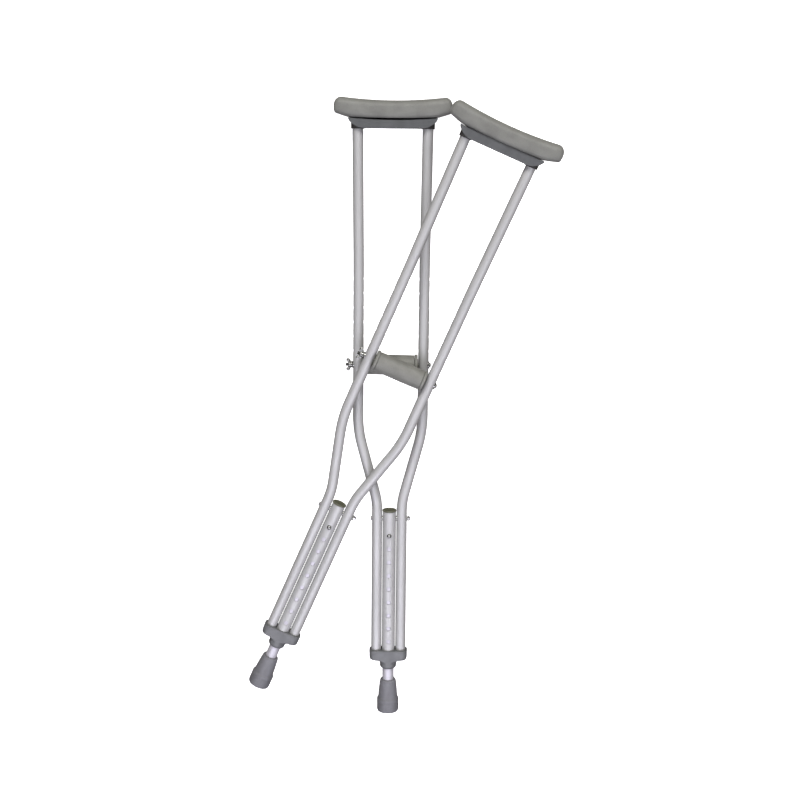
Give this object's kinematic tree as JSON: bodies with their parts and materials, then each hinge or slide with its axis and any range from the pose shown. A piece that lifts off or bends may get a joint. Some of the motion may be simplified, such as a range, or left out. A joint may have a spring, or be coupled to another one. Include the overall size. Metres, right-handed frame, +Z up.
{
  "type": "underarm crutches",
  "caption": "Pair of height-adjustable aluminium underarm crutches with dished pads, sliding grips and telescopic legs, laid one across the other.",
  "frame": {"origin": "middle of the pair's bounding box, on the floor that it lies on", "axes": "+X across crutch A, +Y along crutch A from its rubber tip to its underarm pad, +Z up from the floor"},
  "size_m": [0.5462, 1.1164, 0.1011],
  "materials": {
    "soft_pad": "matte, softly textured foam skin, warm grey",
    "soft_grip": "matte foam skin, warm grey",
    "moulding": "moulded, fine grain, dark grey",
    "cap_plastic": "moulded, dark olive grey",
    "tip_rubber": "matte rubber, dark grey",
    "anodised_tube": "satin clear anodised",
    "leg_aluminium": "bright drawn, lightly polished",
    "zinc_plate": "bright zinc plate",
    "spring_steel": "spring steel, oiled"
  },
  "bodies": {
    "a_frame": {"a_bow_tube_left": "anodised_tube", "a_bow_tube_right": "anodised_tube", "a_centre_cap": "cap_plastic", "a_centre_tube": "anodised_tube", "a_cross_bolt": "zinc_plate", "a_cross_nut": "zinc_plate", "a_cross_washer": "zinc_plate", "a_saddle": "moulding", "a_saddle_rivet_left": "zinc_plate", "a_saddle_rivet_right": "zinc_plate", "a_spacer_left": "zinc_plate", "a_spacer_right": "zinc_plate", "a_underarm_pad": "soft_pad", "a_yoke": "moulding", "a_yoke_rivet": "zinc_plate"},
    "a_grip": {"a_grip_bolt": "zinc_plate", "a_grip_core": "cap_plastic", "a_grip_ring_left": "soft_grip", "a_grip_ring_right": "soft_grip", "a_hand_grip": "soft_grip", "a_head_washer": "zinc_plate", "a_nut_washer": "zinc_plate"},
    "a_leg": {"a_leg_plug": "cap_plastic", "a_leg_tube": "leg_aluminium", "a_rubber_tip": "tip_rubber", "a_snap_spring": "spring_steel", "a_tip_washer": "spring_steel"},
    "a_button": {"a_snap_button": "zinc_plate"},
    "a_wing": {"a_wing_nut": "zinc_plate"},
    "b_frame": {"b_bow_tube_left": "anodised_tube", "b_bow_tube_right": "anodised_tube", "b_centre_cap": "cap_plastic", "b_centre_tube": "anodised_tube", "b_cross_bolt": "zinc_plate", "b_cross_nut": "zinc_plate", "b_cross_washer": "zinc_plate", "b_saddle": "moulding", "b_saddle_rivet_left": "zinc_plate", "b_saddle_rivet_right": "zinc_plate", "b_spacer_left": "zinc_plate", "b_spacer_right": "zinc_plate", "b_underarm_pad": "soft_pad", "b_yoke": "moulding", "b_yoke_rivet": "zinc_plate"},
    "b_grip": {"b_grip_bolt": "zinc_plate", "b_grip_core": "cap_plastic", "b_grip_ring_left": "soft_grip", "b_grip_ring_right": "soft_grip", "b_hand_grip": "soft_grip", "b_head_washer": "zinc_plate", "b_nut_washer": "zinc_plate"},
    "b_leg": {"b_leg_plug": "cap_plastic", "b_leg_tube": "leg_aluminium", "b_rubber_tip": "tip_rubber", "b_snap_spring": "spring_steel", "b_tip_washer": "spring_steel"},
    "b_button": {"b_snap_button": "zinc_plate"},
    "b_wing": {"b_wing_nut": "zinc_plate"}
  },
  "joints": [
    {"name": "a_leg_slide", "type": "slide", "parent": "a_frame", "child": "a_leg", "axis": [0, -1, 0], "range_m": [0, 0.2032], "deforming": ["a_snap_button", "a_snap_spring"]},
    {"name": "a_button_press", "type": "slide", "parent": "a_leg", "child": "a_button", "axis": [0, 0, -1], "range_m": [0, 0.0036], "stiffness_N_per_m": 1800, "springref_m": -0.002},
    {"name": "a_grip_slide", "type": "slide", "parent": "a_frame", "child": "a_grip", "axis": [0, 1, 0], "range_m": [0, 0.1524]},
    {"name": "a_wing_nut_spin", "type": "hinge", "parent": "a_grip", "child": "a_wing", "pos_m": [-0.07161, 0.0958, 0.0201], "axis": [1, 0, 0], "continuous": true},
    {"name": "b_leg_slide", "type": "slide", "parent": "b_frame", "child": "b_leg", "axis": [-0.3933, -0.9177, -0.0549], "range_m": [0, 0.2032], "deforming": ["b_snap_button", "b_snap_spring"]},
    {"name": "b_button_press", "type": "slide", "parent": "b_leg", "child": "b_button", "axis": [0.0216, 0.0505, -0.9985], "range_m": [0, 0.0036], "stiffness_N_per_m": 1800, "springref_m": -0.002},
    {"name": "b_grip_slide", "type": "slide", "parent": "b_frame", "child": "b_grip", "axis": [0.3933, 0.9177, 0.0549], "range_m": [0, 0.1524]},
    {"name": "b_wing_nut_spin", "type": "hinge", "parent": "b_grip", "child": "b_wing", "pos_m": [-0.05129, 0.11404, 0.05597], "axis": [0.9191, -0.3939, 0], "continuous": true},
    {"name": "b_lift_off", "type": "slide", "parent": "a_frame", "child": "b_frame", "axis": [0, 0, 1], "range_m": [0, 0.3]}
  ]
}
